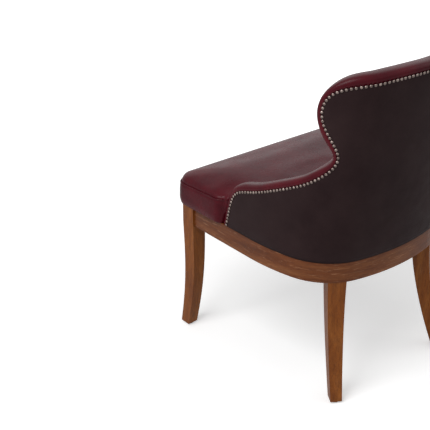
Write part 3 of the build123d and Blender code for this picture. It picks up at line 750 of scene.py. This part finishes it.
def corner_pull(place, over):
    """How far the rounding of an ear's rear corner pulls its side in."""
    if place.y >= -0.100 or abs(place.x) <= EAR_IN:
        return 0.0
    behind = max(0.0, min(1.0, (place.y - EAR_END + CORNER_ROUND) / CORNER_ROUND))
    turned = CORNER_ROUND * (1 - math.sqrt(1 - 0.98 * behind * behind)) * ease((abs(place.x) - EAR_IN) / 0.014)
    return turned * (1 - 0.7 * ease((over + 0.004) / 0.012))


def crown_rise(place, over):
    """How far the pad's top rises over the solid, less towards its middle, or dips with the seam."""
    dip = seam_dip(place) * min(1.0, max(0.0, place.z - seat_base) / SEAM) * (1 - ease(over / 0.008))
    inner = ease((min(SIDE_EDGE - abs(place.x), place.y - FRONT_EDGE) - 0.02) / 0.10)
    return CROWN_RISE * (1 - 0.5 * inner) * ease(over / 0.008) * free_share(place) - dip


# The swelling, on a coarse skin whose seam and pressed faces are held
coarse = seat_skin("seat_swelling", COARSE)
start = [vert.co.copy() for vert in coarse.data.vertices]
facing = [vert.normal.copy() for vert in coarse.data.vertices]
swell = [0.0] * len(start)
held = coarse.vertex_groups.new(name="held")
for vert in coarse.data.vertices:
    if free_share(vert.co) < HELD_SHARE or abs(over_seam(vert.co)) < HELD_NEAR:
        held.add([vert.index], 1.0, "REPLACE")
cloth = coarse.modifiers.new("cloth", "CLOTH")
cloth.settings.vertex_group_mass = "held"
cloth.settings.use_pressure = True
cloth.settings.uniform_pressure_force = PRESSURE
cloth.settings.effector_weights.gravity = 0.0
for number in range(1, LAST_FRAME + 1):
    scene.frame_set(number)
applied(coarse)
for index, vert in enumerate(coarse.data.vertices):
    swell[index] = max(SWELL_LOW, min(SWELL_HIGH, (vert.co - start[index]).dot(facing[index])))
scene.frame_set(1)
bpy.data.objects.remove(coarse)

# The fine skin, with the swelling evened out over it
near = nearby(start)
seat = seat_skin("seat_cushion", FINE)
solid = surface(nodes["seat_pad"].data)
facing = [vert.normal.copy() for vert in seat.data.vertices]
neighbours = [[] for _ in facing]
for edge in seat.data.edges:
    first, last = edge.vertices
    neighbours[first].append(last)
    neighbours[last].append(first)
crown = seat.vertex_groups.new(name="crown")
amounts = []
for vert in seat.data.vertices:
    crown.add([vert.index], ease((over_seam(vert.co) - CROWN_FROM) / CROWN_RUN), "REPLACE")
    close = near.find_n(vert.co, CLOSEST)
    amounts.append(sum(swell[number] for _, number, _ in close) / len(close))
for _ in range(EVEN_ROUNDS):
    amounts = [0.5 * own + 0.5 * sum(amounts[n] for n in around) / len(around)
               for own, around in zip(amounts, neighbours)]
for _ in range(FACING_ROUNDS):
    facing = [(own + sum((facing[n] for n in around), Vector())).normalized()
              for own, around in zip(facing, neighbours)]
for vert, way, amount in zip(seat.data.vertices, facing, amounts):
    place = solid.find_nearest(vert.co)[0]
    over = over_seam(place)
    moved = place + way * (SKIN_OVER + amount) * free_share(place)
    flat = Vector((way.x, way.y, 0.0))
    side = flat.length * boxed_share(place)
    if side > 0.01:
        moved += flat.normalized() * side_spread(over) * min(1.0, side * 1.5)
    moved.x -= math.copysign(corner_pull(place, over), place.x)
    moved.z += crown_rise(place, over)
    vert.co = moved
smoothing(seat, "even", 0.5, 2)
smoothing(seat, "flow", 0.6, 30, "crown")
applied(seat)
seat.data.shade_smooth()
paint(seat, burgundy)
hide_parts("seat_pad")
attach(seat, "root")


def tube(name, path, radius, sides, material):
    """Round cord along a path, with its ends closed."""
    verts, faces = [], []
    last = len(path) - 1
    for index, place in enumerate(path):
        along = (path[min(index + 1, last)] - path[max(index - 1, 0)]).normalized()
        up = Vector((0, 0, 1)) if abs(along.z) < 0.9 else Vector((1, 0, 0))
        across = along.cross(up).normalized()
        up = across.cross(along)
        for side in range(sides):
            angle = 2 * math.pi * side / sides
            verts.append(place + (across * math.cos(angle) + up * math.sin(angle)) * radius)
    for index in range(last):
        for side in range(sides):
            a, b = index * sides + side, index * sides + (side + 1) % sides
            faces.append((a, b, b + sides, a + sides))
    faces.append(tuple(range(sides)))
    faces.append(tuple(reversed(range(last * sides, (last + 1) * sides))))
    return new_piece(name, verts, faces, material)


# Welt along the pad's top seam, laid on the cushion by rays from outside, all round the front to the arms
WELT_RADIUS, WELT_OVER, WELT_SIDES = 0.0018, 0.0014, 8
WELT_FROM, WELT_TURN, WELT_STEPS, WELT_END = -205, 230, 360, -0.118
RAY_CENTRE_Y, RAY_START = -0.10, 0.8
cushion = surface(seat.data)
welt_path = []
for step in range(WELT_STEPS + 1):
    way = unit(math.radians(WELT_FROM + WELT_TURN * step / WELT_STEPS)).to_3d()
    aim = Vector((0.0, RAY_CENTRE_Y, seat_base + SEAM))
    hit = cushion.ray_cast(aim + way * RAY_START, -way)[0]
    for _ in range(3):
        if hit:
            aim.z = seat_base + SEAM - seam_dip(hit)
            hit = cushion.ray_cast(aim + way * RAY_START, -way)[0]
    if hit and hit.y < WELT_END:
        welt_path.append(hit + way * WELT_OVER)
welt = tube("seat_welt", welt_path, WELT_RADIUS, WELT_SIDES, burgundy)
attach(welt, "root")

# Dome nails: round heads over the faceted ones, each turned and tilted a little by its number
NAIL_R, NAIL_H, RINGS, SPOKES = 0.0038, 0.0026, 5, 16
TURN, TURN_STEP, TILT, TILT_STEP = 0.35, 12.9898, 0.16, 78.233
verts, faces = [], []
for number, (base, axis) in enumerate(heads):
    turn = TURN * math.sin(TURN_STEP * number)
    side = axis.orthogonal().normalized()
    tilt = TILT * math.sin(TILT_STEP * number)
    axis = (axis + side * tilt).normalized()
    side = (side - axis * side.dot(axis)).normalized()
    other = axis.cross(side)
    first = len(verts)
    for ring in range(RINGS):
        angle = math.pi / 2 * ring / RINGS
        radius, rise = NAIL_R * math.cos(angle), NAIL_H * math.sin(angle)
        for spoke in range(SPOKES):
            a = 2 * math.pi * spoke / SPOKES + turn
            verts.append(base + axis * rise + (side * math.cos(a) + other * math.sin(a)) * radius)
    verts.append(base + axis * NAIL_H)
    for ring in range(RINGS - 1):
        for spoke in range(SPOKES):
            a, b = first + ring * SPOKES + spoke, first + ring * SPOKES + (spoke + 1) % SPOKES
            faces.append((a, b, b + SPOKES, a + SPOKES))
    top = first + RINGS * SPOKES
    for spoke in range(SPOKES):
        faces.append((top - SPOKES + spoke, top - SPOKES + (spoke + 1) % SPOKES, top))
    faces.append(tuple(first + spoke for spoke in reversed(range(SPOKES))))
nails = new_piece("nail_heads", verts, faces, nail_metal)
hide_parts("dome_nails")
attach(nails, "root")

# Floor: pale, and lit for the camera alone, more with distance from the chair, so that it ends in white
FLOOR_HALF, FLOOR_GLOSS = 12.0, 0.1
GLOW = {"From Min": 0.45, "From Max": 1.9, "To Min": 0.395, "To Max": 1.0}
floor_mesh = bpy.data.meshes.new("floor")
corners = [(x * FLOOR_HALF, y * FLOOR_HALF, 0) for x, y in ((-1, -1), (1, -1), (1, 1), (-1, 1))]
floor_mesh.from_pydata(corners, [], [(0, 1, 2, 3)])
floor = add_object("floor", floor_mesh)
f = Shader("floor")
tone = f.ramp(f.noise(3.0), [(0.3, 0.80), (0.7, 0.82)])
f.finish(tone, f.ramp(f.noise(5.0), [(0.3, 0.9), (0.7, 0.95)]), Specular_IOR_Level=FLOOR_GLOSS)
distance = f.node("ShaderNodeVectorMath", operation="LENGTH")
f.link(f.place, distance.inputs[0])
whiter = f.node("ShaderNodeMapRange", interpolation_type="SMOOTHSTEP")
for socket, value in GLOW.items():
    whiter.inputs[socket].default_value = value
f.link(distance.outputs["Value"], whiter.inputs["Value"])
seen_by = f.node("ShaderNodeMath", operation="MULTIPLY")
f.link(f.node("ShaderNodeLightPath").outputs["Is Camera Ray"], seen_by.inputs[0])
f.link(whiter.outputs["Result"], seen_by.inputs[1])
glow = f.node("ShaderNodeEmission")
glow.inputs["Color"].default_value = (*WHITE, 1.0)
f.link(seen_by.outputs[0], glow.inputs["Strength"])
both = f.node("ShaderNodeAddShader")
f.link(f.shader.outputs[0], both.inputs[0])
f.link(glow.outputs[0], both.inputs[1])
f.link(both.outputs[0], f.tree.nodes["Material Output"].inputs["Surface"])
paint(floor, f.material)

# World: soft pale light, and white behind the object, in glass and in reflections
WORLD_LIGHT, WORLD_WHITE = 0.45, 1.0
world = bpy.data.worlds.new("studio")
scene.world = world
world.use_nodes = True
tree = world.node_tree
mixed = tree.nodes.new("ShaderNodeMixShader")
backgrounds = (tree.nodes["Background"], WORLD_LIGHT), (tree.nodes.new("ShaderNodeBackground"), WORLD_WHITE)
for socket, (background, strength) in enumerate(backgrounds, 1):
    background.inputs["Color"].default_value = (*WHITE, 1.0)
    background.inputs["Strength"].default_value = strength
    tree.links.new(background.outputs[0], mixed.inputs[socket])
path = tree.nodes.new("ShaderNodeLightPath")
shown = path.outputs["Is Camera Ray"]
for kind in ("Is Transmission Ray", "Is Glossy Ray"):
    either = tree.nodes.new("ShaderNodeMath")
    either.operation = "MAXIMUM"
    tree.links.new(shown, either.inputs[0])
    tree.links.new(path.outputs[kind], either.inputs[1])
    shown = either.outputs[0]
tree.links.new(shown, mixed.inputs[0])
tree.links.new(mixed.outputs[0], tree.nodes["World Output"].inputs["Surface"])

# Lamps, aimed at the seat: a large key on the left and a weak fill on the right
LAMP_AIM = Vector((0.0, 0.0, 0.4))


def lamp(name, place, size, power):
    """Square area lamp."""
    data = bpy.data.lights.new(name, "AREA")
    data.shape = "RECTANGLE"
    data.size = data.size_y = size
    data.energy = power
    look(add_object(name, data), Vector(place), LAMP_AIM - Vector(place))


lamp("key", (2.6, 0.2, 3.2), 2.4, 92.0)
lamp("fill", (-2.8, 1.8, 2.6), 2.6, 16.0)
